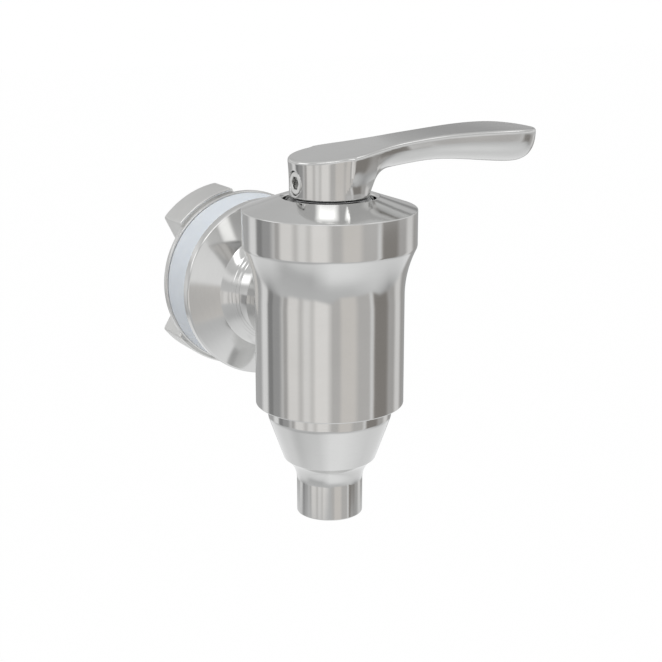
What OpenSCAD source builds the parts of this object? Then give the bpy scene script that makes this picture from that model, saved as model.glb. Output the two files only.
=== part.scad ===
// Quarter-turn spigot for a drinking-water filter tank.
// Millimetres. The origin is on the inlet axis at the flange's sealing face,
// +Y goes into the tank, -Y is the front, +Z is up, and the lever lies along +X
// when the valve is closed.

/* [Body] */
// Radius of the plain barrel
barrel_r = 16; // [15.6:0.1:17]
// How far the top band stands out from the barrel
band_out = 2.6; // [2:0.1:3.2]
// Height of the top band
band_h = 8.3; // [7:0.1:9]
// Height of the band's top edge above the inlet axis
band_top = 22.8; // [22.2:0.1:24.4]
// Rise of the crown from the band to its hole
crown_rise = 2.95; // [2.4:0.05:3.3]
// Length of the concave flare under the band
flare_h = 10.2; // [9:0.1:10.8]
// Depth of the barrel below the inlet axis
barrel_drop = 19.6; // [19.1:0.1:22]
// Radius of the bore that holds the cartridge
cavity_r = 12; // [11.9:0.05:12.4]

/* [Outlet] */
// Radius of the collar that seats under the barrel
collar_r = 13.4; // [13:0.1:14.2]
// Height of that collar
collar_h = 2.95; // [2:0.05:4]
// Height of the cone under the collar
cone_h = 9.45; // [8:0.05:11]
// Radius where the cone ends
cone_end_r = 10; // [9.4:0.1:10.8]
// Outer radius of the outlet tube
tube_r = 7.2; // [6.8:0.1:7.8]
// Height of the round between cone and tube
round_h = 5.1; // [4.4:0.1:6]
// Straight length of the outlet tube
tube_h = 7.6; // [6:0.1:11]
// Radius of the water way through the outlet
throat_r = 5; // [4.4:0.1:5.2]

/* [Inlet] */
// Distance from the barrel's axis to the flange's sealing face
reach = 30.5; // [29.5:0.1:36]
// Radius of the flange
flange_r = 20.5; // [19.8:0.1:22]
// Thickness of the flange at its rim
flange_rim = 2.2; // [1.8:0.1:3]
// Height of the cone on the flange's front
flange_cone = 2.4; // [1.8:0.1:3]
// Radius where that cone meets the neck
neck_edge_r = 13.5; // [12.8:0.1:14.5]
// Radius of the neck where it meets the barrel
neck_r = 9.6; // [9.2:0.1:10]
// Outer radius of the threaded shank
shank_r = 8; // [7.8:0.05:8.4]
// Length of the shank behind the sealing face
shank_len = 32; // [28:0.5:45]
// Radius of the inlet water way
inlet_r = 4.6; // [4:0.1:5]

/* [Clamp stack] */
// Thickness of the silicone washer
seal_t = 9.6; // [4:0.1:12]
// Thickness of the metal washer
plate_t = 1.4; // [1:0.1:2]
// Thickness of the lobed nut
nut_t = 9.3; // [7:0.1:11]
// Radius over the nut's lobes
nut_r = 21.4; // [20.6:0.1:23]
// Radius of the nut's round middle
nut_core_r = 13.4; // [12.4:0.1:15]
// Angle that one lobe covers at its end
lobe_angle = 42; // [36:1:50]

/* [Cartridge] */
// Height of the shoulder that the bonnet is held against
shoulder_z = 16.8; // [16.3:0.1:17.3]
// Thickness of each ceramic disc
disc_t = 3.1; // [2.8:0.05:3.3]
// Radius of the spindle's stem
stem_r = 4; // [3.9:0.05:4.2]
// Width across the flats of the spindle's square
square_w = 5.5; // [5.3:0.05:5.5]

/* [Lever] */
// Reach of the lever from the barrel's axis to its tip
lever_len = 49.4; // [46:0.2:60]
// Radius of the hub at its foot
hub_r = 8.5; // [8.3:0.05:9]
// Height of the lever's top over the barrel's axis
hub_top = 34.65; // [34.2:0.05:36]
// Rise of the flat top for each millimetre toward the tip
top_slope = 0.122; // [0.1:0.002:0.15]
// Half width of the lever at its waist
waist_w = 6.15; // [5.8:0.05:7]
// Half width of the lever near its tip
paddle_w = 9.1; // [8.5:0.1:10.5]
// Depth of the lever at its waist
waist_t = 5.6; // [5:0.05:6.5]
// Depth of the lever near its tip
paddle_t = 7.8; // [6.5:0.1:8.5]

/* [Hidden] */
$fn = 96;

// Clearances
run_gap = 0.08;      // stem in the bonnet, radius
free_gap = 0.3;      // between parts that move past each other
slide_gap = 0.1;     // parts that are slid together
thread_gap = 0.05;   // screwed parts, drawn plain at the pitch circle
o_squash = 0.03;     // drawn space left round a fitted o-ring
eps = 0.5;           // overshoot of cutting tools
edge = 0.25;         // small broken edges

// Clamp stack, from the sealing face back
nut_y = seal_t + plate_t;
nut_back = nut_y + nut_t;
pitch_r = shank_r - 0.65;

// Body
band_r = barrel_r + band_out;
band_bottom = band_top - band_h;
flare_out = band_out - edge;
flare_arc_r = (flare_out * flare_out + flare_h * flare_h) / (2 * flare_out);
bonnet_neck_r = 9.4;
crown_hole_r = bonnet_neck_r + 0.4;
crown_top = band_top + crown_rise;
spigot_r = 7;

// Cartridge heights, from the nozzle's seat upward
seat_top = -8.1;
gasket_t = 1.7;
fixed_z = seat_top + gasket_t;
moving_z = fixed_z + disc_t;
moving_top = moving_z + disc_t;
foot_z = 5.7;
foot_t = 2;
pad_t = 0.5;
ceiling_z = foot_z + foot_t + pad_t;
tube_out_r = 9.6;
tube_in_r = 8.1;
disc_r = tube_in_r - 0.5;
key_in_r = tube_in_r - 0.7;
stop_in_r = tube_in_r - 1.1;
stop_half = 24;
ear_half = 45 - stop_half - 1;
key_w = 1.8;
port_in_r = 1.6;
port_out_r = 5.3;
port_half = 38;
cover_half = 47;
gasket_in_r = port_out_r + 0.3;
gasket_out_r = key_in_r - slide_gap;
foot_r = stop_in_r - free_gap;
blade_w = 3;
blade_l = 6.4;
slot_d = 1.4;
flange_z = 12.7;
bonnet_flange_r = cavity_r - slide_gap;
bonnet_top = 22.9;
stem_bore_r = stem_r + run_gap;
o_small = 0.6;
o_big = 0.65;
o_nozzle = 0.7;
ring_z1 = 10.7;
ring_z2 = 13.7;
clip_t = 0.8;
clip_z = bonnet_top + free_gap;
clip_floor_r = stem_r - 0.7;
clip_out_r = 6;

// Lever heights
hub_z = 25.1;
square_z = 24.3;
square_top = hub_top - 2.85;
hub_head_r = hub_r + 0.7;
sweep_r = 5.95;
sweep_x = hub_r + 3.95;
plane_x = 10;
waist_x = 19;
tip_len = 7.65;
bulge_x = lever_len - tip_len;
bow = 0.00217;
screw_r = 2.5;
screw_z = hub_top - 5.9;
screw_hex = 2.5;

// Points on an arc, from angle a0 to a1
function arc(cx, cz, r, a0, a1, n) =
    [for (i = [0:n]) let (a = a0 + (a1 - a0) * i / n)
        [cx + r * cos(a), cz + r * sin(a)]];

// Outside of the body: barrel, concave flare, band and crown
function body_outline() = concat(
    [[0, -barrel_drop], [barrel_r - edge, -barrel_drop],
     [barrel_r, -barrel_drop + edge]],
    arc(barrel_r + flare_arc_r, band_bottom - flare_h, flare_arc_r, 180,
        180 - asin(flare_h / flare_arc_r), 14),
    [[band_r, band_bottom + edge], [band_r, band_top - edge / 2],
     [band_r - edge / 2, band_top], [crown_hole_r + edge, crown_top],
     [crown_hole_r, crown_top - edge], [0, crown_top - edge]]);

module on_body() {
    translate([0, -reach, 0])
        children();
}

module o_ring(mid_r, r) {
    rotate_extrude()
        translate([mid_r, 0])
            circle(r = r, $fn = 24);
}

// Ring with rounded outer edges, from z = 0 up
module washer_shape(r_in, r_out, t, soft) {
    rotate_extrude()
        polygon(concat(
            [[r_in, 0]],
            arc(r_out - soft, soft, soft, -90, 0, 6),
            arc(r_out - soft, t - soft, soft, 0, 90, 6),
            [[r_in, t]]));
}

// Body: one turned and cast piece, open at the bottom for the cartridge
module valve_body() {
    color("silver")
    on_body()
    difference() {
        rotate_extrude()
            polygon(body_outline());
        translate([0, 0, -barrel_drop - eps])
            cylinder(r = cavity_r, h = barrel_drop + eps + shoulder_z);
        translate([0, 0, shoulder_z - eps])
            cylinder(r = crown_hole_r, h = crown_top);
        rotate([-90, 0, 0])
            cylinder(r = spigot_r, h = barrel_r + 8);
    }
}

// Radius of the flared neck at a distance y from the sealing face
neck_back = flange_rim + flange_cone;
neck_len = 8;
neck_out = neck_edge_r - neck_r;
neck_arc_r = (neck_out * neck_out + neck_len * neck_len) / (2 * neck_out);
function neck_at(y) =
    let (d = neck_len + neck_back + y)
    neck_r + neck_arc_r - sqrt(neck_arc_r * neck_arc_r - d * d);
groove = 0.13;
function neck_line(y) =
    [[neck_at(y - groove), y - groove], [neck_at(y) - groove, y],
     [neck_at(y + groove), y + groove]];

// Inlet shank: spigot brazed into the body, flared neck with three fine
// turned lines, coned flange, and the threaded tube through the tank wall.
// The thread is drawn plain: at its crests where it is free, and at the pitch
// circle inside the nut, where the two threads meet
module inlet_shank() {
    color("lightsteelblue")
    difference() {
        union() {
            difference() {
                rotate([-90, 0, 0])
                    rotate_extrude()
                        polygon(concat(
                            [[0, -reach + 13], [neck_r, -reach + 13]],
                            [for (i = [0:4]) let (y = -neck_back - neck_len + i)
                                [neck_at(y), y]],
                            neck_line(-neck_back - 3.4),
                            neck_line(-neck_back - 2.6),
                            neck_line(-neck_back - 1.8),
                            [for (i = [1:3]) let (y = -neck_back - 1.2 + 0.3 * i)
                                [neck_at(y), y]],
                            [[neck_edge_r, -neck_back],
                             [flange_r - edge / 2, -flange_rim],
                             [flange_r, -flange_rim + edge / 2],
                             [flange_r, -edge / 2], [flange_r - edge / 2, 0],
                             [shank_r, 0], [shank_r, nut_y],
                             [pitch_r - thread_gap, nut_y],
                             [pitch_r - thread_gap, nut_back],
                             [shank_r, nut_back], [shank_r, shank_len - 1],
                             [shank_r - 1, shank_len], [0, shank_len]]));
                on_body()
                    rotate_extrude()
                        polygon(body_outline());
            }
            translate([0, -reach + cavity_r + 0.4, 0])
                rotate([-90, 0, 0])
                    cylinder(r = spigot_r, h = 6);
        }
        translate([0, -reach, 0])
            rotate([-90, 0, 0])
                cylinder(r = inlet_r, h = reach + shank_len + eps);
    }
}

// Outlet: threaded plug that closes the body and clamps the cartridge,
// with the collar, cone and tube seen below the barrel
nozzle_top = -barrel_drop;
collar_bottom = nozzle_top - collar_h;
cone_bottom = collar_bottom - cone_h;
tube_top = cone_bottom - round_h;
tube_bottom = tube_top - tube_h;
round_out = cone_end_r - tube_r;
round_arc_r = (round_out * round_out + round_h * round_h) / (2 * round_out);
plug_r = cavity_r - thread_gap;
nozzle_ring_z = nozzle_top + 1.3;
nozzle_groove_r = plug_r - 2 * o_nozzle + o_squash;
module outlet_nozzle() {
    color("gainsboro")
    on_body()
    difference() {
        rotate_extrude()
            polygon(concat(
                [[0, tube_bottom], [tube_r - edge, tube_bottom],
                 [tube_r, tube_bottom + edge]],
                arc(tube_r + round_arc_r, tube_top, round_arc_r, 180,
                    180 - asin(round_h / round_arc_r), 10),
                [[collar_r, collar_bottom], [collar_r, nozzle_top],
                 [plug_r, nozzle_top], [plug_r, nozzle_ring_z - o_nozzle],
                 [nozzle_groove_r, nozzle_ring_z - o_nozzle],
                 [nozzle_groove_r, nozzle_ring_z + o_nozzle],
                 [plug_r, nozzle_ring_z + o_nozzle],
                 [plug_r, seat_top - 1], [plug_r - 1, seat_top],
                 [0, seat_top]]));
        translate([0, 0, tube_bottom - eps])
            cylinder(r = throat_r, h = seat_top - tube_bottom + 2 * eps);
    }
}

module nozzle_o_ring() {
    color("dimgray")
    on_body()
    translate([0, 0, nozzle_ring_z])
        o_ring(nozzle_groove_r + o_nozzle, o_nozzle - o_squash);
}

// Silicone washer that seals against the outside of the tank wall
module silicone_washer() {
    color("lavender")
    rotate([-90, 0, 0])
        washer_shape(shank_r + free_gap, flange_r - 0.4, seal_t, 0.9);
}

// Metal washer between the wall and the nut
module metal_washer() {
    color("gray")
    translate([0, seal_t, 0])
        rotate([-90, 0, 0])
            washer_shape(shank_r + free_gap, flange_r, plate_t, 0.2);
}

// Nut with three lobes for turning it by hand inside the tank
module clamp_nut() {
    lobe_out = nut_r * sin(lobe_angle / 2);
    lobe_in = lobe_out * 1.05;
    past = nut_r + 2;
    lobe_past = lobe_in + (lobe_out - lobe_in) * past / (nut_r * cos(lobe_angle / 2));
    color("darkgray")
    translate([0, nut_y, 0])
    rotate([-90, 0, 0])
    difference() {
        intersection() {
            translate([0, 0, -eps])
            union() {
                cylinder(r = nut_core_r, h = nut_t + 2 * eps);
                for (a = [0, 120, 240])
                    rotate([0, 0, a + 2])
                        linear_extrude(height = nut_t + 2 * eps)
                            polygon([[0, -lobe_in], [past, -lobe_past],
                                     [past, lobe_past], [0, lobe_in]]);
            }
            cylinder(r = nut_r, h = nut_t);
        }
        translate([0, 0, -eps])
            cylinder(r = pitch_r, h = nut_t + 2 * eps);
        translate([0, 0, nut_t - 0.8])
            cylinder(r1 = pitch_r, r2 = pitch_r + 1.1, h = 1.1);
    }
}

// Part of a ring, half angle h either side of +X
module ring_sector(h, r_in, r_out, z0, t) {
    intersection() {
        sector(h, r_out * 1.2, z0, t);
        translate([0, 0, z0])
            difference() {
                cylinder(r = r_out, h = t);
                translate([0, 0, -eps])
                    cylinder(r = r_in, h = t + 2 * eps);
            }
    }
}

// Bonnet: the cartridge's housing, with two side windows for the water and
// two stops that hold the spindle to a quarter turn
module cartridge_bonnet() {
    groove_z = (flange_z + shoulder_z) / 2;
    groove_r = bonnet_flange_r - 2 * o_big + o_squash;
    color("goldenrod")
    on_body()
    difference() {
        union() {
            rotate_extrude()
                polygon([[tube_in_r, seat_top], [tube_out_r, seat_top],
                         [tube_out_r, flange_z], [bonnet_flange_r, flange_z],
                         [bonnet_flange_r, groove_z - o_big],
                         [groove_r, groove_z - o_big],
                         [groove_r, groove_z + o_big],
                         [bonnet_flange_r, groove_z + o_big],
                         [bonnet_flange_r, shoulder_z],
                         [bonnet_neck_r, shoulder_z],
                         [bonnet_neck_r, bonnet_top - edge],
                         [bonnet_neck_r - edge, bonnet_top],
                         [stem_bore_r, bonnet_top], [stem_bore_r, ceiling_z],
                         [tube_in_r, ceiling_z]]);
            for (a = [0, 180])
                rotate([0, 0, a])
                    translate([key_in_r, -key_w / 2, seat_top])
                        cube([tube_in_r - key_in_r + 0.6, key_w,
                              fixed_z + disc_t - free_gap - seat_top]);
            for (a = [135, 315])
                rotate([0, 0, a])
                    ring_sector(stop_half, stop_in_r, tube_in_r + 0.6, foot_z,
                                ceiling_z - foot_z + 0.3);
        }
        for (a = [90, 270])
            rotate([0, 0, a])
                translate([0, -5.5, moving_top])
                    cube([tube_out_r + 2, 11, foot_z - moving_top]);
    }
}

module bonnet_o_ring() {
    groove_r = bonnet_flange_r - 2 * o_big + o_squash;
    color("dimgray")
    on_body()
    translate([0, 0, (flange_z + shoulder_z) / 2])
        o_ring(groove_r + o_big, o_big - o_squash);
}

// Spindle: blade into the moving disc, foot with two ears that meet the
// stops, stem with two o-ring grooves and a clip groove, and the square
module spindle() {
    small_r = stem_r - 2 * o_small + o_squash;
    color("khaki")
    on_body()
    union() {
        rotate_extrude()
            polygon([[0, foot_z], [foot_r, foot_z], [foot_r, foot_z + foot_t],
                     [stem_r, foot_z + foot_t],
                     [stem_r, ring_z1 - o_small], [small_r, ring_z1 - o_small],
                     [small_r, ring_z1 + o_small], [stem_r, ring_z1 + o_small],
                     [stem_r, ring_z2 - o_small], [small_r, ring_z2 - o_small],
                     [small_r, ring_z2 + o_small], [stem_r, ring_z2 + o_small],
                     [stem_r, clip_z], [clip_floor_r, clip_z],
                     [clip_floor_r, clip_z + clip_t], [stem_r, clip_z + clip_t],
                     [stem_r, square_z], [0, square_z]]);
        translate([-blade_l, -blade_w / 2, moving_top - slot_d + slide_gap])
            cube([2 * blade_l, blade_w,
                  foot_z - moving_top + slot_d - slide_gap + 0.2]);
        translate([-square_w / 2, -square_w / 2, square_z - 0.2])
            cube([square_w, square_w, square_top - square_z + 0.2]);
        for (a = [90, 270])
            rotate([0, 0, a])
                ring_sector(ear_half, foot_r - 0.5, tube_in_r - free_gap,
                            foot_z, foot_t);
    }
}

module spindle_o_rings() {
    small_r = stem_r - 2 * o_small + o_squash;
    color("dimgray")
    on_body()
    for (z = [ring_z1, ring_z2])
        translate([0, 0, z])
            o_ring(small_r + o_small, o_small - o_squash);
}

// Low-friction washer that the spindle's foot turns under
module friction_washer() {
    color("white")
    on_body()
    translate([0, 0, foot_z + foot_t])
        difference() {
            cylinder(r = foot_r, h = pad_t);
            translate([0, 0, -eps])
                cylinder(r = stem_r + free_gap, h = pad_t + 2 * eps);
        }
}

// Open spring clip that keeps the spindle from dropping
module spindle_clip() {
    color("slategray")
    on_body()
    translate([0, 0, clip_z])
        difference() {
            cylinder(r = clip_out_r, h = clip_t - 0.05);
            translate([0, 0, -eps])
                cylinder(r = clip_floor_r + 0.03, h = clip_t + 2 * eps);
            translate([-clip_out_r - 1, -1.8, -eps])
                cube([clip_out_r + 1, 3.6, clip_t + 2 * eps]);
        }
}

// Wedge between two rays, half angle h either side of +X
module sector(h, r, z0, t) {
    translate([0, 0, z0])
        linear_extrude(height = t)
            polygon([[0, 0], [r * cos(h), -r * sin(h)], [r * 1.35, -r * 0.4],
                     [r * 1.35, r * 0.4], [r * cos(h), r * sin(h)]]);
}

// Upper ceramic disc: bow tie that uncovers the ports when it turns
module moving_disc() {
    color("whitesmoke")
    on_body()
    difference() {
        translate([0, 0, moving_z])
            cylinder(r = disc_r, h = disc_t);
        for (a = [90, 270])
            rotate([0, 0, a])
                translate([port_in_r + 0.5, 0, 0])
                    sector(90 - cover_half, disc_r * 1.2, moving_z - eps,
                           disc_t + 2 * eps);
        translate([-disc_r - 1, -blade_w / 2 - slide_gap, moving_top - slot_d])
            cube([2 * disc_r + 2, blade_w + 2 * slide_gap, slot_d + eps]);
    }
}

// Lower ceramic disc: two ports, keyed to the bonnet
module fixed_disc() {
    color("whitesmoke")
    on_body()
    difference() {
        translate([0, 0, fixed_z])
            cylinder(r = tube_in_r - slide_gap, h = disc_t);
        for (a = [0, 180])
            rotate([0, 0, a]) {
                intersection() {
                    sector(port_half, disc_r, fixed_z - eps, disc_t + 2 * eps);
                    translate([0, 0, fixed_z - eps])
                        difference() {
                            cylinder(r = port_out_r, h = disc_t + 2 * eps);
                            translate([0, 0, -eps])
                                cylinder(r = port_in_r, h = disc_t + 4 * eps);
                        }
                }
                translate([key_in_r - slide_gap, -key_w / 2 - slide_gap,
                           fixed_z - eps])
                    cube([3, key_w + 2 * slide_gap, disc_t + 2 * eps]);
            }
    }
}

// Rubber ring between the fixed disc and the outlet's seat
module seat_gasket() {
    color("dimgray")
    on_body()
    translate([0, 0, seat_top])
        difference() {
            cylinder(r = gasket_out_r, h = gasket_t);
            translate([0, 0, -eps])
                cylinder(r = gasket_in_r, h = gasket_t + 2 * eps);
        }
}

// Lever: plan, top line and depth along its length
function ease(u) = (1 - cos(180 * max(0, min(1, u)))) / 2;
function blunt(u, p) = pow(max(0, 1 - pow(max(0, u), p)), 1 / p);
function tip_u(x) = (x - bulge_x) / tip_len;
function side_w(x) =
    x < waist_x ? hub_r + 0.9 - (hub_r + 0.9 - waist_w) * ease((x + 1.5) / (waist_x - 0.8))
    : waist_w + (paddle_w - waist_w) * ease((x - waist_x - 2) / (lever_len - waist_x - 6.9));
function plan_w(x) = side_w(x) * blunt(tip_u(x), 2.96);
function top_z(x) =
    hub_top + top_slope * x
    - (x > plane_x ? bow * (x - plane_x) * (x - plane_x) : 0);
function plain_t(x) =
    waist_t + (paddle_t - waist_t) * ease((x - waist_x - 1.4) / (lever_len - waist_x - 4.3));
function sweep_t(x) =
    x < sweep_x
    ? sweep_r - sqrt(max(0, sweep_r * sweep_r - (sweep_x - x) * (sweep_x - x)))
    : 0;
function depth_t(x) =
    min(plain_t(x) + sweep_t(x), top_z(x) - hub_z - 1.4) * blunt(tip_u(x), 3.58);
steps = 18;
function stations() = concat(
    [1, 4],
    [for (d = [0.1, 0.4, 0.9, 1.6, 2.5, 3.6]) sweep_x - sweep_r + d],
    [for (i = [0:steps]) sweep_x - 1.1 + (bulge_x - sweep_x + 1.1) * i / steps],
    [for (i = [1:9]) bulge_x + tip_len * sin(90 * i / 9.3)]);
around = 20;
lift = 0.6;
function section(x) = concat(
    [[x, plan_w(x), top_z(x) + lift]],
    [for (k = [1:around - 1])
        let (a = 180 * k / around, c = cos(a), s = sin(a))
        [x, plan_w(x) * sign(c) * pow(abs(c), 0.8),
         top_z(x) - depth_t(x) * pow(s, 0.8)]],
    [[x, -plan_w(x), top_z(x) + lift]]);

// Arm and paddle, a little too tall, before the top line is cut
module lever_arm() {
    xs = stations();
    n = len(xs);
    m = around + 1;
    polyhedron(
        points = [for (x = xs) each section(x)],
        faces = concat(
            [[for (k = [m - 1:-1:0]) k]],
            [[for (k = [0:m - 1]) (n - 1) * m + k]],
            [for (i = [0:n - 2]) for (k = [0:m - 2])
                [i * m + k, (i + 1) * m + k + 1, (i + 1) * m + k]],
            [for (i = [0:n - 2]) for (k = [0:m - 2])
                [i * m + k, i * m + k + 1, (i + 1) * m + k + 1]],
            [for (i = [0:n - 2]) [i * m + m - 1, (i + 1) * m, (i + 1) * m + m - 1]],
            [for (i = [0:n - 2]) [i * m + m - 1, i * m, (i + 1) * m]]),
        convexity = 6);
}

// Everything over the lever's top line
module above_top() {
    rotate([90, 0, 0])
        translate([0, 0, -20])
            linear_extrude(height = 40)
                polygon(concat(
                    [[-15, top_z(-15)]],
                    [for (i = [0:15])
                        let (x = plane_x + (lever_len + 3 - plane_x) * i / 15)
                        [x, top_z(x)]],
                    [[lever_len + 3, hub_top + 12], [-15, hub_top + 12]]));
}

// Cast lever: hub, swept arm and paddle, square socket and screw hole
module lever() {
    color("silver")
    on_body()
    difference() {
        union() {
            rotate_extrude()
                polygon([[0, hub_z], [hub_r - 0.7, hub_z],
                         [hub_r - 0.2, hub_z + 0.25], [hub_r, hub_z + 0.8],
                         [hub_head_r, hub_top + 1.7], [0, hub_top + 1.7]]);
            lever_arm();
        }
        above_top();
        translate([-square_w / 2 - slide_gap, -square_w / 2 - slide_gap,
                   hub_z - eps])
            cube([square_w + 2 * slide_gap, square_w + 2 * slide_gap,
                  square_top + free_gap - hub_z + eps]);
        translate([0, 0, screw_z])
            rotate([0, -90, 0])
                cylinder(r = screw_r + thread_gap, h = hub_r + 6);
    }
}

// Socket set screw that locks the lever to the square
module set_screw() {
    screw_l = hub_r - 0.3 - square_w / 2;
    color("dimgray")
    on_body()
    translate([-square_w / 2, 0, screw_z])
        rotate([0, -90, 0])
            difference() {
                union() {
                    cylinder(r1 = screw_r - 0.7, r2 = screw_r, h = 0.7);
                    translate([0, 0, 0.7])
                        cylinder(r = screw_r, h = screw_l - 0.7);
                }
                translate([0, 0, screw_l - 2.4])
                    cylinder(r = screw_hex / 2 / cos(30), h = 3, $fn = 6);
            }
}

valve_body();
inlet_shank();
outlet_nozzle();
nozzle_o_ring();
silicone_washer();
metal_washer();
clamp_nut();
cartridge_bonnet();
bonnet_o_ring();
spindle();
spindle_o_rings();
friction_washer();
spindle_clip();
moving_disc();
fixed_disc();
seat_gasket();
lever();
set_screw();
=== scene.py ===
import math

import bpy
import numpy as np
from mathutils import Matrix, Vector


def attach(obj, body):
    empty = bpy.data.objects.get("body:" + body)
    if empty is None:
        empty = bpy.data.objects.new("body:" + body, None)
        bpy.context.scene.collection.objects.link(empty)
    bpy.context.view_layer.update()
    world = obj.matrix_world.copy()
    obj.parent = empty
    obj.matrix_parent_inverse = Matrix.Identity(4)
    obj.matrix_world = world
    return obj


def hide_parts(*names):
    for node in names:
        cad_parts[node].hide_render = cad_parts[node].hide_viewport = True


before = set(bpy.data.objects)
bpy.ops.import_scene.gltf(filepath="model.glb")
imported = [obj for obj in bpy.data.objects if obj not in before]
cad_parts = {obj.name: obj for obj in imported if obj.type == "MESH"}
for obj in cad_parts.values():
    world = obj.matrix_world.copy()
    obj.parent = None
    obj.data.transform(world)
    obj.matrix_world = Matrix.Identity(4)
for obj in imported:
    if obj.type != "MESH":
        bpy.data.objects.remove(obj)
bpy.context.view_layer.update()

# Body: one turned stainless casting, polished to a mirror and open at the
# bottom for the cartridge. A concave flare carries the wide band and the
# sloped crown that the lever turns over.
MM = 0.001
REACH = 30.5
BARREL_R, BARREL_FOOT = 16.0, -19.6
BAND_R, BAND_LOW, BAND_TOP = 18.6, 14.5, 22.8
CROWN_TOP, CROWN_HOLE_R = 25.75, 9.8
CAVITY_R, SHOULDER_Z = 12.0, 16.8
FLARE_H, FLARE_OUT = 10.2, 2.35
BODY_AXIS = Matrix.Translation((0, -REACH, 0))
POLISH_DARK, POLISH_PALE = (0.66, 0.66, 0.65), (0.74, 0.74, 0.735)
# height in mm of the turned lines and of the waviness in polished steel
LINE_H, WAVE_H = 0.0004, 0.012
# corners round a turned piece
AROUND = 192


def fillet(corners, steps=4):
    """Outline of (radius, height, rounding) corners, each rounding made an arc."""
    points = []
    for i, (r, z, size) in enumerate(corners):
        here = np.array((r, z), float)
        if not size:
            points.append(here)
            continue
        back = np.array(corners[i - 1][:2], float) - here
        ahead = np.array(corners[(i + 1) % len(corners)][:2], float) - here
        back, ahead = back / np.linalg.norm(back), ahead / np.linalg.norm(ahead)
        half = math.acos(np.clip(back @ ahead, -1, 1)) / 2
        middle = (back + ahead) / np.linalg.norm(back + ahead)
        centre = here + middle * size / math.sin(half)
        start = here + back * size / math.tan(half) - centre
        end = here + ahead * size / math.tan(half) - centre
        sweep = math.atan2(start[0] * end[1] - start[1] * end[0], start @ end)
        for k in range(steps + 1):
            c, s = math.cos(sweep * k / steps), math.sin(sweep * k / steps)
            points.append(centre + (c * start[0] - s * start[1], s * start[0] + c * start[1]))
    return np.array(points)


def flared(foot_r, foot_z, out, rise, count):
    """Corners of a concave arc that leaves its foot upright and ends out
    further from the axis and rise higher."""
    radius = (out ** 2 + rise ** 2) / (2 * out)
    return [(foot_r + radius + radius * math.cos(a), foot_z + radius * math.sin(a), 0)
            for a in np.linspace(math.pi, math.pi - math.asin(rise / radius), count)]


def piece(name, points, faces, normals, material, body):
    """Smooth mesh with its own normals, riding on a body."""
    mesh = bpy.data.meshes.new(name)
    mesh.from_pydata([tuple(p) for p in points], [], [tuple(int(i) for i in f) for f in faces])
    mesh.shade_smooth()
    mesh.normals_split_custom_set_from_vertices([tuple(n) for n in normals])
    mesh.materials.append(material)
    made = bpy.data.objects.new(name, mesh)
    bpy.context.scene.collection.objects.link(made)
    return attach(made, body)


def turned(name, outline, place, material):
    """Ring of the base, turned from a closed outline in mm. The outline's long
    sides decide the shading of the corners between them."""
    ring = np.asarray(outline) * MM
    after = np.roll(ring, -1, 0)
    if (ring[:, 0] * after[:, 1] - after[:, 0] * ring[:, 1]).sum() < 0:
        ring = ring[::-1]
    ahead = np.roll(ring, -1, 0) - ring
    side = np.c_[ahead[:, 1], -ahead[:, 0]]
    normal = side + np.roll(side, 1, 0)
    normal /= np.linalg.norm(normal, axis=1)[:, None]
    angle = np.arange(AROUND) * 2 * math.pi / AROUND
    c, s = np.cos(angle)[:, None], np.sin(angle)[:, None]

    def swung(flat):
        r, z = flat[:, 0], flat[:, 1]
        return np.stack([c * r, s * r, np.ones_like(c) * z], -1).reshape(-1, 3)

    turn = np.array(place.to_3x3())
    points = swung(ring) @ turn.T + np.array(place.translation) * MM
    normals = swung(normal) @ turn.T
    n, faces = len(ring), []
    for a in range(AROUND):
        b = (a + 1) % AROUND
        faces += [(a * n + k, b * n + k, b * n + (k + 1) % n, a * n + (k + 1) % n)
                  for k in range(n)]
    return piece(name, points, faces, normals, material, "base")


class Wire:
    """A shader socket that can be added and multiplied like a number."""

    def __init__(self, finish, socket):
        self.finish, self.socket = finish, socket

    def calc(self, operation, a, b):
        return self.finish.node("ShaderNodeMath", {"operation": operation}, {0: a, 1: b})

    def __add__(self, other):
        return self.calc("ADD", self, other)

    def __mul__(self, other):
        return self.calc("MULTIPLY", self, other)

    def __sub__(self, other):
        return self.calc("SUBTRACT", self, other)

    def __rsub__(self, other):
        return self.calc("SUBTRACT", other, self)

    __radd__ = __add__


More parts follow.
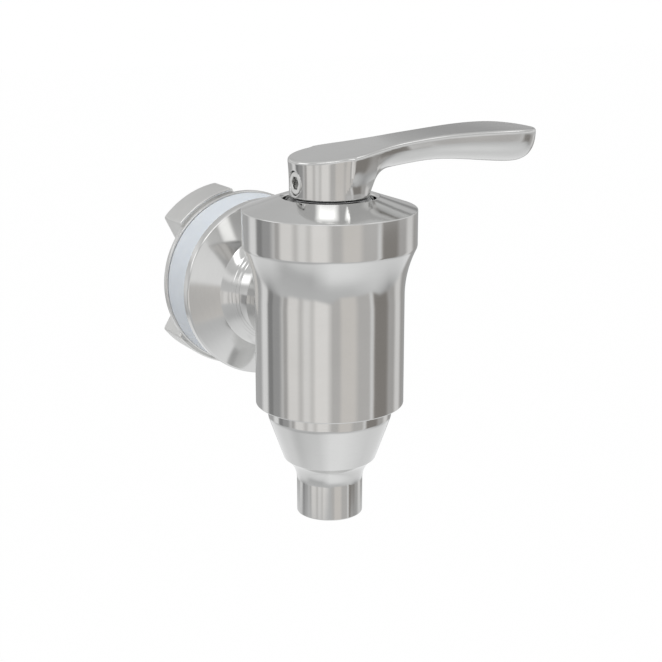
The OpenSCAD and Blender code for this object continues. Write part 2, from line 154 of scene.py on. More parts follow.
class Finish:
    """A material, or the world's light, in the making."""

    def __init__(self, name, world=None):
        self.material = world or bpy.data.materials.new(name)
        self.material.use_nodes = True
        self.tree = self.material.node_tree
        self.tree.nodes.clear()

    def node(self, kind, settings, sockets, out=0):
        """Adds a node. Its settings go in before its sockets."""
        made = self.tree.nodes.new(kind)
        for key, value in settings.items():
            setattr(made, key, value)
        for key, value in sockets.items():
            if isinstance(value, Wire):
                self.tree.links.new(value.socket, made.inputs[key])
            else:
                made.inputs[key].default_value = value
        return Wire(self, made.outputs[out]) if made.outputs else None

    def place(self, scale=(1, 1, 1)):
        """Object coordinates in mm, stretched by scale."""
        where = self.node("ShaderNodeTexCoord", {}, {}, "Object")
        return self.node("ShaderNodeMapping", {}, {
            "Vector": where, "Scale": [1000 * k for k in scale]})

    def along(self, axis):
        """Object coordinate along one axis, in mm."""
        return self.node("ShaderNodeSeparateXYZ", {}, {"Vector": self.place()}, axis)

    def noise(self, where, scale, detail):
        return self.node("ShaderNodeTexNoise", {}, {
            "Vector": where, "Scale": scale, "Detail": detail})

    def step(self, value, start, end, low=0.0, high=1.0, form="SMOOTHSTEP"):
        """Goes from low to high while the value goes from start to end."""
        return self.node("ShaderNodeMapRange", {"interpolation_type": form}, {
            "Value": value, "From Min": start, "From Max": end, "To Min": low, "To Max": high})

    def blend(self, amount, first, second):
        """Mixes two colours, each a wire or three numbers."""
        first, second = (tone if isinstance(tone, Wire) else (*tone, 1) for tone in (first, second))
        return self.node("ShaderNodeMix", {"data_type": "RGBA"},
                         {0: amount, 6: first, 7: second}, 2)

    def bump(self, height, strength, distance):
        return self.node("ShaderNodeBump", {}, {"Height": height, "Strength": strength,
                                                "Distance": distance})

    def close(self, **sockets):
        """Ends in one Principled surface, its sockets' spaces written as _."""
        sockets = {key.replace("_", " "): value for key, value in sockets.items()}
        shader = self.node("ShaderNodeBsdfPrincipled", {}, sockets)
        self.node("ShaderNodeOutputMaterial", {}, {"Surface": shader})
        return self.material


def polished(name, dark, pale, rough, turned_about):
    """Mirror-polished steel. Fine lines run round the axis it was turned
    about, under a very slight waviness from the polishing wheel. Rough is one
    number, or two for a piece that is buffed less from 6 to 22 mm along X."""
    finish = Finish(name)
    fine = [0.35, 0.35, 0.35]
    fine["xyz".index(turned_about)] = 9.0
    lines = finish.noise(finish.place(fine), 1.0, 3.0)
    wheel = finish.noise(finish.place(), 0.16, 1.0)
    specks = finish.noise(finish.place(), 2.3, 4.0)
    colour = finish.blend(lines * 0.5 + wheel * 0.5, dark, pale)
    height = lines * LINE_H + wheel * WAVE_H
    if isinstance(rough, tuple):
        rough = finish.step(finish.along("X"), 6.0, 22.0, *rough)
    return finish.close(Base_Color=colour, Metallic=1.0, Roughness=rough + specks * 0.03,
                        Normal=finish.bump(height, 1.0, MM))


steel_upright = polished("steel_upright", POLISH_DARK, POLISH_PALE, 0.08, "z")
body = turned("body", fillet([
    (CAVITY_R, BARREL_FOOT, 0.2), (BARREL_R, BARREL_FOOT, 0.3),
    *flared(BARREL_R, BAND_LOW - FLARE_H, FLARE_OUT, FLARE_H, 24),
    (BAND_R, BAND_LOW + 0.5, 1.8), (BAND_R, BAND_TOP, 0.25),
    (CROWN_HOLE_R, CROWN_TOP, 0.75), (CROWN_HOLE_R, SHOULDER_Z, 0.1),
    (CAVITY_R, SHOULDER_Z, 0.2)]), BODY_AXIS, steel_upright)
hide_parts("valve_body")

# Inlet shank: stainless, brazed into the body. A flared neck with three fine
# turned lines runs into the coned flange; behind it the tube is threaded and
# goes through the tank wall.
SPIGOT_END = 12.4 - REACH
NECK_R, NECK_EDGE_R, NECK_LEN = 9.6, 13.5, 8.0
NECK_LINES, LINE_HALF_W, LINE_DEPTH, LINE_CLEAR = (1.8, 2.6, 3.4), 0.13, 0.12, 0.2
FLANGE_R, FLANGE_RIM, FLANGE_CONE = 20.5, 2.2, 2.4
SHANK_R, SHANK_END, BORE_R, PLAIN_LEN = 8.0, 32.0, 4.6, 1.0
THREAD_PITCH, THREAD_DEPTH, THREAD_START, THREAD_END = 1.5, 0.9, 2.6, 30.6
# the ridge's widths as shares of the pitch, its height as a share of the
# depth, and how far it is sunk into the tube
RIDGE_FOOT, RIDGE_CREST, RIDGE_H, RIDGE_SUNK = 0.86, 0.14, 1.08, 0.04
INLET_AXIS = Matrix.Rotation(math.radians(-90), 4, "X")

neck_back = -(FLANGE_RIM + FLANGE_CONE)
neck_out = NECK_EDGE_R - NECK_R
neck_arc = (neck_out ** 2 + NECK_LEN ** 2) / (2 * neck_out)


def neck_at(y):
    """The neck's radius at y, leaving out its turned lines."""
    along = NECK_LEN - neck_back + y
    return NECK_R + neck_arc - math.sqrt(neck_arc ** 2 - along ** 2)


neck = []
for y in np.linspace(neck_back - NECK_LEN, neck_back - 0.25, 28):
    if min(abs(y - neck_back + line) for line in NECK_LINES) > LINE_CLEAR:
        neck.append((neck_at(y), y, 0))
for line in NECK_LINES:
    y = neck_back - line
    neck += [(neck_at(y - LINE_HALF_W), y - LINE_HALF_W, 0), (neck_at(y) - LINE_DEPTH, y, 0),
             (neck_at(y + LINE_HALF_W), y + LINE_HALF_W, 0)]
neck.sort(key=lambda corner: corner[1])

steel_inlet = polished("steel_inlet", POLISH_DARK, POLISH_PALE, 0.08, "y")
root_r = SHANK_R - THREAD_DEPTH
shank = turned("shank", fillet([
    (BORE_R, SPIGOT_END, 0), (NECK_R, SPIGOT_END, 0), *neck,
    (NECK_EDGE_R, neck_back, 0.12), (FLANGE_R, -FLANGE_RIM, 0.6), (FLANGE_R, 0, 0.2),
    (SHANK_R, 0, 0), (SHANK_R, PLAIN_LEN, 0), (root_r, PLAIN_LEN + THREAD_DEPTH, 0),
    (root_r, SHANK_END, 0.3), (BORE_R, SHANK_END, 0.3)]), INLET_AXIS, steel_inlet)
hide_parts("inlet_shank")


def thread_tree(name):
    """Geometry Nodes: one 60 degree ridge swept along a helix about +Y."""
    tree = bpy.data.node_groups.new(name, "GeometryNodeTree")
    tree.interface.new_socket("Geometry", in_out="OUTPUT", socket_type="NodeSocketGeometry")
    sizes = {}
    for label, kind in (("Root radius", "Float"), ("Depth", "Float"), ("Pitch", "Float"),
                        ("Start", "Float"), ("Length", "Float"), ("Steps a turn", "Int"),
                        ("Finish", "Material")):
        sizes[label] = tree.interface.new_socket(label, in_out="INPUT",
                                                 socket_type="NodeSocket" + kind).identifier
    given = tree.nodes.new("NodeGroupInput")
    out = tree.nodes.new("NodeGroupOutput")

    def add(kind, settings, sockets):
        made = tree.nodes.new(kind)
        for key, value in settings.items():
            setattr(made, key, value)
        for key, value in sockets.items():
            if isinstance(value, bpy.types.NodeSocket):
                tree.links.new(value, made.inputs[key])
            else:
                made.inputs[key].default_value = value
        return made.outputs[0]

    def math_node(operation, a, b):
        return add("ShaderNodeMath", {"operation": operation}, {0: a, 1: b})

    size = given.outputs
    turns = math_node("DIVIDE", size["Length"], size["Pitch"])
    helix = add("GeometryNodeCurveSpiral", {}, {
        "Resolution": size["Steps a turn"], "Rotations": turns,
        "Start Radius": size["Root radius"], "End Radius": size["Root radius"],
        "Height": size["Length"]})
    helix = add("GeometryNodeSetCurveNormal", {"mode": "Z_UP"}, {"Curve": helix})
    ridge = add("GeometryNodeCurvePrimitiveQuadrilateral", {"mode": "TRAPEZOID"}, {
        "Bottom Width": math_node("MULTIPLY", size["Pitch"], RIDGE_FOOT),
        "Top Width": math_node("MULTIPLY", size["Pitch"], RIDGE_CREST),
        "Offset": 0.0, "Height": math_node("MULTIPLY", size["Depth"], RIDGE_H)})
    ridge = add("GeometryNodeTransform", {}, {"Geometry": ridge, "Rotation": (0, 0, math.pi / 2)})
    swept = add("GeometryNodeCurveToMesh", {}, {"Curve": helix, "Profile Curve": ridge,
                                                "Fill Caps": True})
    shift = add("ShaderNodeCombineXYZ", {}, {"Y": size["Start"]})
    laid = add("GeometryNodeTransform", {}, {"Geometry": swept, "Translation": shift,
                                             "Rotation": (-math.pi / 2, 0, 0)})
    whole = add("GeometryNodeRealizeInstances", {}, {"Geometry": laid})
    whole = add("GeometryNodeSetMaterial", {}, {"Geometry": whole, "Material": size["Finish"]})
    tree.links.new(whole, out.inputs[0])
    return tree, sizes


def grown(name, tree, sizes, values, body):
    """Runs a tree, and keeps its result as a plain mesh."""
    holder = bpy.data.objects.new(name, bpy.data.meshes.new(name))
    bpy.context.scene.collection.objects.link(holder)
    modifier = holder.modifiers.new("grow", "NODES")
    modifier.node_group = tree
    for label, value in values.items():
        modifier[sizes[label]] = value
    ready = holder.evaluated_get(bpy.context.evaluated_depsgraph_get())
    mesh = bpy.data.meshes.new_from_object(ready)
    holder.modifiers.clear()
    holder.data = mesh
    mesh.name = name
    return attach(holder, body)


tree, sizes = thread_tree("screw_thread")
thread = grown("shank_thread", tree, sizes, {
    "Root radius": (root_r - RIDGE_SUNK) * MM, "Depth": THREAD_DEPTH * MM,
    "Pitch": THREAD_PITCH * MM, "Start": THREAD_START * MM,
    "Length": (THREAD_END - THREAD_START) * MM, "Steps a turn": 96,
    "Finish": steel_inlet}, "base")

# Cartridge: bought in and pushed up into the body. A turned brass bonnet,
# plated where it shows round the hub, holds the spindle and two ceramic
# discs; rubber rings and a plastic washer seal and guide them.
PLATED_FROM, PLATED_TO = 17.5, 18.5
finish = Finish("turned_brass")
lines = finish.noise(finish.place((0.3, 0.3, 12.0)), 1.0, 3.0)
tarnish = finish.noise(finish.place(), 0.5, 3.0)
plated = finish.step(finish.along("Z"), PLATED_FROM, PLATED_TO, form="LINEAR")
bare = finish.blend(tarnish, (0.62, 0.44, 0.18), (0.78, 0.60, 0.30))
brass = finish.close(
    Base_Color=finish.blend(plated, bare, (0.62, 0.63, 0.64)), Metallic=1.0,
    Roughness=0.2 + lines * 0.2, Normal=finish.bump(lines, 0.15, 0.01 * MM))
finish = Finish("black_rubber")
dust = finish.noise(finish.place(), 3.0, 4.0)
rubber = finish.close(Base_Color=finish.blend(dust, (0.02, 0.02, 0.02), (0.045, 0.045, 0.045)),
                      Roughness=0.5 + dust * 0.2, Normal=finish.bump(dust, 0.2, 0.01 * MM))
finish = Finish("white_acetal")
flow = finish.noise(finish.place(), 1.5, 3.0)
acetal = finish.close(Base_Color=finish.blend(flow, (0.76, 0.76, 0.73), (0.84, 0.84, 0.81)),
                      Roughness=0.4 + flow * 0.15)
finish = Finish("lapped_ceramic")
speck = finish.noise(finish.place(), 5.0, 4.0)
ceramic = finish.close(Base_Color=finish.blend(speck, (0.78, 0.76, 0.70), (0.88, 0.86, 0.81)),
                       Roughness=0.25 + speck * 0.1)
finish = Finish("spring_steel")
drawn = finish.noise(finish.place((1.0, 1.0, 8.0)), 1.0, 3.0)
spring = finish.close(Base_Color=finish.blend(drawn, (0.20, 0.20, 0.20), (0.28, 0.28, 0.28)),
                      Metallic=1.0, Roughness=0.25 + drawn * 0.2)
for node, finished in (("cartridge_bonnet", brass), ("spindle", brass), ("spindle_clip", spring),
                       ("bonnet_o_ring", rubber), ("spindle_o_rings", rubber),
                       ("nozzle_o_ring", rubber), ("seat_gasket", rubber),
                       ("friction_washer", acetal), ("moving_disc", ceramic),
                       ("fixed_disc", ceramic)):
    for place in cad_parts[node].material_slots:
        place.material = finished

# Outlet: stainless, its plug screwed up into the body against the cartridge.
# Below the collar a cone narrows through a soft round to the plain tube.
COLLAR_R, CONE_TOP, CONE_LOW, CONE_END_R = 13.4, -22.55, -32.0, 10.0
TUBE_R, TUBE_TOP, TUBE_END, THROAT_R = 7.2, -37.1, -44.7, 5.0
SEAT_TOP, PLUG_R, GROOVE_R, GROOVE_LOW, GROOVE_TOP = -8.1, 11.95, 10.58, -19.0, -17.6
outlet = turned("outlet", fillet([
    (THROAT_R, TUBE_END, 0.25), (TUBE_R, TUBE_END, 0.25),
    *flared(TUBE_R, TUBE_TOP, CONE_END_R - TUBE_R, CONE_LOW - TUBE_TOP, 14),
    (COLLAR_R, CONE_TOP, 2.6), (COLLAR_R, BARREL_FOOT, 0.1), (PLUG_R, BARREL_FOOT, 0),
    (PLUG_R, GROOVE_LOW, 0), (GROOVE_R, GROOVE_LOW, 0), (GROOVE_R, GROOVE_TOP, 0),
    (PLUG_R, GROOVE_TOP, 0), (PLUG_R, SEAT_TOP, 0.6), (THROAT_R, SEAT_TOP, 0.2)]),
    BODY_AXIS, steel_upright)
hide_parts("outlet_nozzle")

# Lever: cast stainless, hub and arm in one, its top ground flat and the rest
# polished. A square socket takes the spindle and a screw hole goes in at the
# back of the hub.
HUB_Z, HUB_R, HUB_TOP, HUB_GROWTH = 25.1, 8.5, 34.65, 0.9
HUB_STRAIGHT, HUB_RISE, FOOT_CUT = 0.8, 10.5, 0.35
TOP_SLOPE, PLANE_X, BOW, FOOT_SLOPE = 0.122, 10.0, 0.00217, 0.875
# what turns the drop to each slope into a distance
TOP_COS, FOOT_COS = 0.992, 0.753
LEVER_LEN, TIP_LEN, WAIST_X, WAIST_W, PADDLE_W = 49.4, 7.65, 19.0, 6.15, 9.1
WAIST_T, PADDLE_T, SWEEP_X, SWEEP_R, ROOT_LIFT = 5.6, 7.8, 12.45, 5.95, 1.4
# where the arm narrows, widens and thickens: start along X, and length
NARROWS, WIDENS, THICKENS = (-1.5, 18.2), (21.0, 23.5), (20.4, 26.1)
# powers of the rounded squares that the arm's section and its tip follow
SECTION_POWER, TIP_W_POWER, TIP_T_POWER = 2.5, 2.96, 3.58
SCREW_Z, SCREW_HOLE_R, SOCKET_W, SOCKET_TOP = 28.75, 2.55, 5.7, 32.1
ROOT_ROUND, TOP_ROUND, LEVER_CELL = 2.2, 0.9, 0.3


def ease(x, start, length):
    """Rises smoothly from 0 at start to 1 at its length's end."""
    return (1 - np.cos(math.pi * np.clip((x - start) / length, 0, 1))) / 2


def soft_most(a, b, size):
    """The larger of two distances, with the edge between them rounded."""
    near = np.clip(size - np.abs(a - b), 0, None)
    return np.maximum(a, b) + near * near / (4 * size)


def soft_least(a, b, size):
    """The smaller of two distances, with the corner between them filled."""
    return -soft_most(-a, -b, size)


def lever_form(p):
    """Distance in mm from the lever's skin, negative inside. X runs along the
    lever from the barrel's axis."""
    x, y, z = p[..., 0], p[..., 1], p[..., 2]
    top = HUB_TOP + TOP_SLOPE * x - BOW * np.clip(x - PLANE_X, 0, None) ** 2
    root_w = HUB_R + HUB_GROWTH
    wide = np.where(x < WAIST_X, root_w - (root_w - WAIST_W) * ease(x, *NARROWS),
                    WAIST_W + (PADDLE_W - WAIST_W) * ease(x, *WIDENS))
    deep = WAIST_T + (PADDLE_T - WAIST_T) * ease(x, *THICKENS)
    gone = np.clip(SWEEP_X - x, 0, SWEEP_R)
    deep = np.minimum(deep + SWEEP_R - np.sqrt(SWEEP_R ** 2 - gone ** 2),
                      top - HUB_Z - ROOT_LIFT)
    tip = np.clip((x - LEVER_LEN + TIP_LEN) / TIP_LEN, 0, 1)
    wide = np.maximum(wide * (1 - tip ** TIP_W_POWER) ** (1 / TIP_W_POWER), 1e-3)
    deep = np.maximum(deep * (1 - tip ** TIP_T_POWER) ** (1 / TIP_T_POWER), 1e-3)
    across, down = np.abs(y) / wide, np.clip(top - z, 0, None) / deep
    size = (across ** SECTION_POWER + down ** SECTION_POWER + 1e-9) ** (1 / SECTION_POWER)
    lean = np.hypot((across / size) ** (SECTION_POWER - 1) / wide,
                    (down / size) ** (SECTION_POWER - 1) / deep) + 1e-6
    arm = np.maximum((size - 1) / lean, 1 - x)
    r = np.hypot(x, y)
    up = np.clip((z - HUB_Z - HUB_STRAIGHT) / HUB_RISE, 0, 1.2)
    hub = r - HUB_R - HUB_GROWTH * up ** 3
    hub = soft_most(hub, (r - HUB_R + FOOT_CUT - (z - HUB_Z) * FOOT_SLOPE) * FOOT_COS, 0.2)
    whole = soft_least(arm, hub, ROOT_ROUND)
    whole = soft_most(whole, (z - top) * TOP_COS, TOP_ROUND)
    whole = soft_most(whole, HUB_Z - z, 0.15)
    bore = np.where(x < 0, SCREW_HOLE_R - np.hypot(y, z - SCREW_Z), -3.0)
    whole = soft_most(whole, bore, 0.25)
    socket = np.maximum(np.maximum(np.abs(x), np.abs(y)) - SOCKET_W / 2, z - SOCKET_TOP)
    return soft_most(whole, -socket, 0.2)


def skinned(form, low, high, cell):
    """Mesh of the surface where form is zero: one vertex in each crossed cell,
    then moved onto the surface, with its normals from the form."""
    axes = [np.arange(a, b + cell, cell) for a, b in zip(low, high)]
    grid = np.stack(np.meshgrid(*axes, indexing="ij"), -1)
    value = form(grid)
    shape = np.array(value.shape) - 1
    total, count = np.zeros((*shape, 3)), np.zeros(shape)
    crossed = []
    for axis in range(3):
        first = [slice(None)] * 3
        second = list(first)
        first[axis], second[axis] = slice(0, -1), slice(1, None)
        a, b = value[tuple(first)], value[tuple(second)]
        cut = (a < 0) != (b < 0)
        share = np.where(cut, a / np.where(cut, a - b, 1), 0)
        point = grid[tuple(first)].copy()
        point[..., axis] += share * cell
        crossed.append((cut, a < 0))
        u, v = [k for k in range(3) if k != axis]
        for du in (0, 1):
            for dv in (0, 1):
                take = [slice(None)] * 3
                take[u] = slice(du, du + shape[u])
                take[v] = slice(dv, dv + shape[v])
                here = cut[tuple(take)]
                total[here] += point[tuple(take)][here]
                count[here] += 1
    used = count > 0
    index = -np.ones(shape, int)
    index[used] = np.arange(used.sum())
    points = total[used] / count[used][:, None]
    faces = []
    for axis, (cut, inside) in enumerate(crossed):
        u, v = (axis + 1) % 3, (axis + 2) % 3
        at = np.argwhere(cut)
        ok = (at[:, u] > 0) & (at[:, v] > 0) & (at[:, u] < shape[u]) & (at[:, v] < shape[v])
        at = at[ok]
        corner = []
        for du, dv in ((1, 1), (0, 1), (0, 0), (1, 0)):
            c = at.copy()
            c[:, u] -= du
            c[:, v] -= dv
            corner.append(index[tuple(c.T)])
        quad = np.stack(corner, 1)
        flip = inside[tuple(at.T)]
        quad[~flip] = quad[~flip][:, ::-1]
        faces.append(quad)

    def slope(p, h=0.01):
        steps = np.eye(3) * h
        return np.stack([form(p + s) - form(p - s) for s in steps], -1) / (2 * h)

    for _ in range(3):
        g = slope(points)
        move = form(points)[:, None] * g / np.maximum((g * g).sum(1), 1e-4)[:, None]
        points = points - np.clip(move, -cell / 2, cell / 2)
    normals = slope(points)
    normals /= np.linalg.norm(normals, axis=1)[:, None]
    return points, np.vstack(faces), normals


steel_lever = polished("steel_lever", (0.64, 0.64, 0.63), (0.72, 0.72, 0.715), (0.08, 0.17), "z")
points, faces, normals = skinned(lever_form, (-10.5, -10.5, HUB_Z - 0.9),
                                 (LEVER_LEN + 0.9, 10.5, HUB_TOP + 5.5), LEVER_CELL)
lever = piece("lever_arm", (points + (0, -REACH, 0)) * MM, faces, normals, steel_lever, "handle")
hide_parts("lever")

# Set screw: stainless, its rim rounded, with a hexagonal socket. It is screwed
# in from the back of the hub and bears on the spindle's square.
SCREW_R, SCREW_TIP_X, SCREW_END_X, TIP_CUT = 2.5, -2.75, -8.2, 0.7
HEX_W, HEX_DEPTH, DRILL_SLOPE, RIM_ROUND, SCREW_CELL = 2.5, 2.4, 0.4, 0.4, 0.13
COS_30, COS_45 = 0.866, 0.707


def screw_form(p):
    """Distance in mm from the screw's skin. X runs along the screw."""
    x, y, z = p[..., 0], p[..., 1], p[..., 2] - SCREW_Z
    r = np.hypot(y, z)
    whole = soft_most(r - SCREW_R, (r - SCREW_R + TIP_CUT - (SCREW_TIP_X - x)) * COS_45, 0.1)
    whole = soft_most(soft_most(whole, x - SCREW_TIP_X, 0.05), SCREW_END_X - x, RIM_ROUND)
    flat = np.maximum(np.abs(z), np.abs(z) / 2 + np.abs(y) * COS_30) - HEX_W / 2
    socket = np.maximum(flat, x - SCREW_END_X - HEX_DEPTH + r * DRILL_SLOPE)
    return soft_most(whole, -socket, 0.12)


finish = Finish("bright_screw")
grain = finish.noise(finish.place((3.0, 1.0, 1.0)), 2.0, 3.0)
screw_steel = finish.close(
    Base_Color=finish.blend(grain, (0.62, 0.62, 0.61), (0.74, 0.74, 0.73)), Metallic=1.0,
    Roughness=0.08 + grain * 0.1, Normal=finish.bump(grain, 0.2, 0.01 * MM))
points, faces, normals = skinned(screw_form, (SCREW_END_X - 0.3, -2.8, SCREW_Z - 2.8),
                                 (SCREW_TIP_X + 0.3, 2.8, SCREW_Z + 2.8), SCREW_CELL)
screw = piece("grub_screw", (points + (0, -REACH, 0)) * MM, faces, normals, screw_steel, "handle")
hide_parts("set_screw")

# Silicone washer: moulded, bluish white and slightly clear, soft at its
# edges. It seals on the outside of the tank wall. Near both faces its colour
# is painted paler, a painted highlight on its rounded edges.
SEAL_R, SEAL_T, HOLE_R = 20.1, 9.6, 8.3
# how far in from its faces the washer is painted paler, as a painted highlight
HIGHLIGHT_FROM, HIGHLIGHT_TO = 1.4, 0.2
finish = Finish("moulded_silicone")
cloud = finish.noise(finish.place(), 0.35, 3.0)
grain = finish.noise(finish.place(), 6.0, 3.0)
off_middle = finish.node("ShaderNodeMath", {"operation": "ABSOLUTE"},
                         {0: finish.along("Y") - SEAL_T / 2})
# painted highlight: the colour turns paler near both faces, where the rounded edges catch the light
painted_highlight = finish.step(off_middle, SEAL_T / 2 - HIGHLIGHT_FROM, SEAL_T / 2 - HIGHLIGHT_TO)
silicone = finish.close(
    Base_Color=finish.blend(cloud * 0.5 + painted_highlight * 0.5, (0.49, 0.525, 0.565), (0.62, 0.65, 0.68)),
    Roughness=0.38 + grain * 0.12, IOR=1.41, Subsurface_Weight=0.25,
    Subsurface_Radius=(1.2, 1.3, 1.6), Subsurface_Scale=MM,
    Normal=finish.bump(grain, 0.15, 0.02 * MM))
seal = turned("silicone_seal", fillet([
    (HOLE_R, 0, 0.2), (SEAL_R, 0, 0.9), (SEAL_R, SEAL_T, 0.4), (HOLE_R, SEAL_T, 0.2)], 8),
    INLET_AXIS, silicone)
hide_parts("silicone_washer")

# Metal washer: punched from bright stainless sheet, rolled over on the
# punched side, between the wall and the nut.
PLATE_R, PLATE_BACK = 20.5, 11.0
finish = Finish("punched_steel")
rolled = finish.noise(finish.place((0.6, 5.0, 0.6)), 1.0, 4.0)
mottle = finish.noise(finish.place(), 1.2, 3.0)
sheet = finish.close(
    Base_Color=finish.blend(mottle, (0.62, 0.62, 0.615), (0.74, 0.74, 0.73)), Metallic=1.0,
    Roughness=0.16 + rolled * 0.12, Normal=finish.bump(rolled, 0.1, 0.01 * MM))
plate = turned("backing_washer", fillet([
    (HOLE_R, SEAL_T, 0.1), (PLATE_R, SEAL_T, 0.35), (PLATE_R, PLATE_BACK, 0.12),
    (HOLE_R, PLATE_BACK, 0.1)]), INLET_AXIS, sheet)
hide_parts("metal_washer")

# Nut: cast stainless, turned by hand inside the tank with its three lobes. Its
# skin is satin from tumbling and only the front face is machined bright.
NUT_BACK, NUT_R, CORE_R, NUT_BORE_R, BORE_CUT = 20.3, 21.4, 13.4, 7.35, 0.8
LOBE_ANGLE, LOBE_TURN, LOBE_TAPER, LOBE_ROOT, NUT_CELL = 42.0, 2.0, 0.05, 1.4, 0.25


def nut_form(p):
    """Distance in mm from the nut's skin. X and Z lie across the shank's axis,
    Y along it."""
    x, y, z = p[..., 0], p[..., 1], p[..., 2]
    r = np.hypot(x, z)
    whole = r - CORE_R
    half = NUT_R * math.sin(math.radians(LOBE_ANGLE / 2))
    for k in range(3):
        a = math.radians(-LOBE_TURN - 120 * k)
        out, side = x * math.cos(a) + z * math.sin(a), -x * math.sin(a) + z * math.cos(a)
        half_w = half * (1 + LOBE_TAPER - LOBE_TAPER * out / 20)
        whole = soft_least(whole, np.maximum(np.abs(side) - half_w, -out), LOBE_ROOT)
    whole = soft_most(whole, r - NUT_R, 0.45)
    whole = soft_most(soft_most(whole, y - NUT_BACK, 0.5), PLATE_BACK - y, 0.45)
    bore = np.maximum(NUT_BORE_R, NUT_BORE_R + BORE_CUT - (NUT_BACK - y)) - r
    return soft_most(whole, bore, 0.15)


finish = Finish("tumbled_steel")
sand = finish.noise(finish.place(), 4.0, 5.0)
cloud = finish.noise(finish.place(), 0.25, 2.0)
faced = finish.step(finish.along("Y"), PLATE_BACK + 0.1, PLATE_BACK + 0.35, 1.0, 0.0)
nut_steel = finish.close(
    Base_Color=finish.blend(cloud * 0.6 + sand * 0.4, (0.68, 0.68, 0.67), (0.78, 0.78, 0.77)),
    Metallic=1.0, Roughness=0.42 + sand * 0.12 * (1 - faced) - faced * 0.38,
    Normal=finish.bump(sand * (1 - faced), 0.5, 0.03 * MM))
points, faces, normals = skinned(nut_form, (-22, PLATE_BACK - 0.8, -22),
                                 (22, NUT_BACK + 0.8, 22), NUT_CELL)
nut = piece("lobed_nut", points * MM, faces, normals, nut_steel, "base")
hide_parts("clamp_nut")

# Studio: a plain pale floor and a white surround. The polished steel also
# mirrors a room of pale and dark upright panels, a grey table and ceiling and
# four softboxes, which only reflections see.
FLOOR_Z, FLOOR_HALF, CAMERA_TURN = -0.5, 6, 30
ROOM_R, BOX_AWAY, BOX_EDGE_TONE = 2.4, 1.6, 0.6


def mirrored(name, points, faces, tones):
    """Glowing mesh that only reflections see. Each point has a tone and how
    warm it is."""
    mesh = bpy.data.meshes.new(name)
    mesh.from_pydata(points, [], faces)
    layer = mesh.attributes.new("tone", "FLOAT_COLOR", "POINT")
    for k, (tone, warmth) in enumerate(tones):
        layer.data[k].color = (tone * (1 + warmth), tone, tone * (1 - warmth), 1)
    finish = Finish(name)
    tone = finish.node("ShaderNodeAttribute", {"attribute_name": "tone"}, {}, "Color")
    glow = finish.node("ShaderNodeEmission", {}, {"Color": tone, "Strength": 1.0})
    finish.node("ShaderNodeOutputMaterial", {}, {"Surface": glow})
    mesh.materials.append(finish.material)
    made = bpy.data.objects.new(name, mesh)
    bpy.context.scene.collection.objects.link(made)
    for kind in ("camera", "diffuse", "shadow", "transmission", "volume_scatter"):
        setattr(made, "visible_" + kind, False)


def bearing(degrees, distance, z):
    """Point round the valve. Bearing 0 is toward the camera, +90 its right."""
    a = math.radians(degrees - CAMERA_TURN)
    return (distance * math.sin(a), -REACH * MM - distance * math.cos(a), z)


def patched(rows, columns, spot, tone):
    """Points, faces and tones of a surface laid over rows and columns."""
    wide = len(columns)
    faces = [(j * wide + k, j * wide + k + 1, j * wide + wide + k + 1, j * wide + wide + k)
             for j in range(len(rows) - 1) for k in range(wide - 1)]
    return ([spot(r, c) for r in rows for c in columns], faces,
            [tone(r, c) for r in rows for c in columns])


# from and to bearing, tone and warmth of each panel round the room
PANELS = ((-180, -160, 0.42, 0.0), (-150, -132, 0.46, 0.0), (-122, -112, 0.86, 0.0),
          (-106, -98, 0.27, 0.0), (-95, -83, 0.38, 0.0), (-77, -75, 0.62, 0.01),
          (-73, -69, 0.46, 0.02), (-64, -51, 0.84, 0.02), (-45, -43, 0.63, 0.02),
          (-38, -32, 0.84, 0.015), (-27, -25, 0.69, 0.02), (-20, -4, 0.90, 0.02),
          (5, 14, 0.56, 0.02), (20, 38, 0.70, 0.04), (46, 63, 0.55, 0.02),
          (67, 69, 0.80, 0.0), (74, 96, 0.26, 0.06), (104, 115, 0.46, 0.02),
          (123, 132, 0.78, 0.01), (142, 152, 0.40, 0.02), (160, 180, 0.40, 0.0))
edges = [turn for panel in PANELS for turn in panel[:2]]
tones = [panel[2] for panel in PANELS for _ in range(2)]
warmths = [panel[3] for panel in PANELS for _ in range(2)]
# how far below the horizon the panels end, by bearing
FEET = ((-180, 24), (-75, 23), (-60, 25), (-20, 25), (2, 22), (16, 28), (70, 28), (84, 24),
        (180, 24))


def table_tone(down, turn):
    """Table with a grey card on the left, pale in front and behind, and darker
    far out to both sides."""
    left = np.interp(down, (20, 33, 46, 57, 80), (0.64, 0.58, 0.54, 0.78, 0.90))
    front = np.interp(down, (24, 36, 46, 56), (0.58, 0.64, 0.90, 0.96))
    right = np.interp(down, (24, 33, 52, 80), (0.66, 0.76, 0.87, 0.92))
    side = np.interp(down, (24, 28, 34, 42), (0.40, 0.46, 0.72, 0.80))
    return np.interp(turn, (-180, -160, -138, -104, -80, -30, 2, 35, 75, 104, 138, 160, 180),
                     (0.9, 0.9, 0.86, side, left, left, front, front, right, side, 0.84, 0.9, 0.9))


# rows of the room in degrees below the horizon: the table down to "below",
# the panels from "foot", then the wall and the ceiling above them
ROWS = (90, 75, 66, 60, 54, 48, 43, 38, 33, "below", "foot", 10.5, 8.5, 6,
        -6, -10, -13, -15, -22, -45, -60, -90)
# tone of the wall and the ceiling by row, in front of the valve and behind it
WALL = {8.5: (0.64, 0.42), 6: (0.64, 0.42), -6: (0.88, 0.52), -10: (0.85, 0.24),
        -13: (0.90, 0.36), -15: (0.90, 0.56), -22: (0.64, 0.56), -45: (0.70, 0.62),
        -60: (0.75, 0.66), -90: (0.75, 0.66)}


def room_down(row, turn):
    """Degrees below the horizon of a row, at a bearing."""
    foot = np.interp(turn, *zip(*FEET))
    return {"below": foot + 1.5, "foot": foot - 1.5}.get(row, row)


def room_spot(row, turn):
    """Point of the room, which is cut off just above the floor."""
    down = math.radians(room_down(row, turn))
    away = min(ROOM_R, (-FLOOR_Z - 0.002) / math.sin(down)) if down > 0 else ROOM_R
    return bearing(turn, away * math.cos(down), -away * math.sin(down))


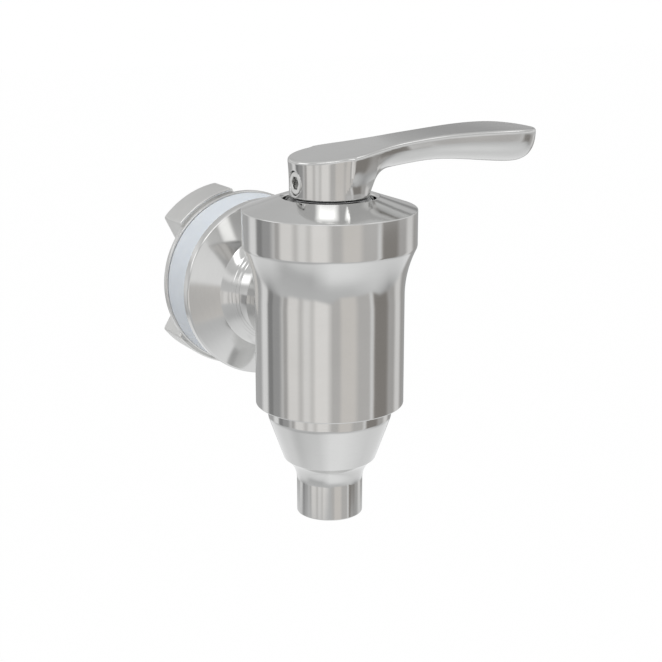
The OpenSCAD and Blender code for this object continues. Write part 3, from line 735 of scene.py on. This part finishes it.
def room_tone(row, turn):
    """Tone and warmth of the panels, the table, or the wall and ceiling."""
    if row in ("foot", 10.5) or row == 8.5 and turn < 50:
        return np.interp(turn, edges, tones), np.interp(turn, edges, warmths)
    if row == "below" or row > 10.5:
        return table_tone(room_down(row, turn), turn), -0.005
    behind = np.interp(abs(turn), (140, 160), (0, 0.6 if turn < 0 and row > -15 else 1))
    front, back = WALL[row]
    if row == 6:
        front = np.interp(turn, (-100, -60, -20, 5, 35, 70, 100),
                          (0.8, 0.64, 0.64, 0.92, 0.9, 0.6, 0.6))
    if row == -6:
        front = np.interp(turn, (-20, 10), (0.62, front))
    return front + (back - front) * behind, 0.0


def softbox(name, turn, wide, low, tall, tone):
    """Curved softbox, given in degrees, that is darker toward its edges."""
    def spot(tilt, side):
        return bearing(side, BOX_AWAY * math.cos(math.radians(tilt)),
                       BOX_AWAY * math.sin(math.radians(tilt)))

    def glow(tilt, side):
        inside = min(1, 3 * (0.5 - abs(tilt - low - tall / 2) / tall),
                     4 * (0.5 - abs(side - turn) / wide))
        return BOX_EDGE_TONE + (tone - BOX_EDGE_TONE) * inside, 0.0

    mirrored(name, *patched(np.linspace(low, low + tall, 7),
                            np.linspace(turn - wide / 2, turn + wide / 2, 13), spot, glow))


mirrored("studio_room", *patched(ROWS, sorted({*edges, *range(-180, 181, 6)}),
                                 room_spot, room_tone))
softbox("softbox_front", -8, 92, 35, 13, 2.4)
softbox("softbox_strip", -20, 40, 58, 14, 1.3)
softbox("softbox_left", -82, 46, 8, 26, 1.7)
softbox("softbox_right", 92, 60, 44, 20, 1.6)


def lamp(name, place, aim, size, power):
    """Soft lamp that lights the spigot and isn't mirrored in it."""
    data = bpy.data.lights.new(name, "AREA")
    data.shape, data.size, data.size_y, data.energy = "RECTANGLE", size[0], size[1], power
    made = bpy.data.objects.new(name, data)
    bpy.context.scene.collection.objects.link(made)
    made.location = place
    made.rotation_euler = (Vector(aim) - Vector(place)).to_track_quat("-Z", "Y").to_euler()
    made.visible_glossy = False


CENTRE = (0.01, -0.02, 0.0)
lamp("key_lamp", (-0.25, -0.42, 0.42), CENTRE, (0.26, 0.26), 1.7)
lamp("fill_lamp", (0.42, -0.30, 0.30), CENTRE, (0.12, 0.30), 0.7)
lamp("back_lamp", (-0.10, 0.45, 0.40), CENTRE, (0.30, 0.20), 0.9)


def any_seen(finish):
    """1 for rays from the camera, a reflection or through glass."""
    camera, glossy, through = (finish.node("ShaderNodeLightPath", {}, {}, "Is %s Ray" % kind)
                               for kind in ("Camera", "Glossy", "Transmission"))
    return camera.calc("MAXIMUM", camera, glossy.calc("MAXIMUM", glossy, through))


finish = Finish("pale_floor")
pale = finish.node("ShaderNodeBsdfDiffuse", {}, {"Color": (0.85, 0.85, 0.85, 1)})
white = finish.node("ShaderNodeEmission", {}, {"Color": (1, 1, 1, 1), "Strength": 1.0})
mixed = finish.node("ShaderNodeMixShader", {}, {0: any_seen(finish) * 0.99, 1: pale, 2: white})
finish.node("ShaderNodeOutputMaterial", {}, {"Surface": mixed})
mesh = bpy.data.meshes.new("floor")
mesh.from_pydata([(x * FLOOR_HALF, y * FLOOR_HALF, FLOOR_Z)
                  for x, y in ((-1, -1), (1, -1), (1, 1), (-1, 1))], [], [(0, 1, 2, 3)])
mesh.materials.append(finish.material)
floor = bpy.data.objects.new("floor", mesh)
bpy.context.scene.collection.objects.link(floor)

surround = bpy.data.worlds.new("white_surround")
bpy.context.scene.world = surround
finish = Finish("white_surround", surround)
sky = finish.node("ShaderNodeBackground", {}, {"Color": (1, 1, 1, 1),
                                               "Strength": 0.85 + any_seen(finish) * 0.15})
finish.node("ShaderNodeOutputWorld", {}, {"Surface": sky})

camera = bpy.data.objects.new("camera", bpy.data.cameras.new("camera"))
bpy.context.scene.collection.objects.link(camera)
camera.location = (-0.14898, -0.29385, 0.07817)
camera.rotation_euler = (math.radians(74.826), 0, math.radians(-29.555))
camera.data.lens = 79.421
camera.data.sensor_width = 36
camera.data.clip_start = 0.01
bpy.context.scene.camera = camera
bpy.context.scene.view_settings.view_transform = "Standard"
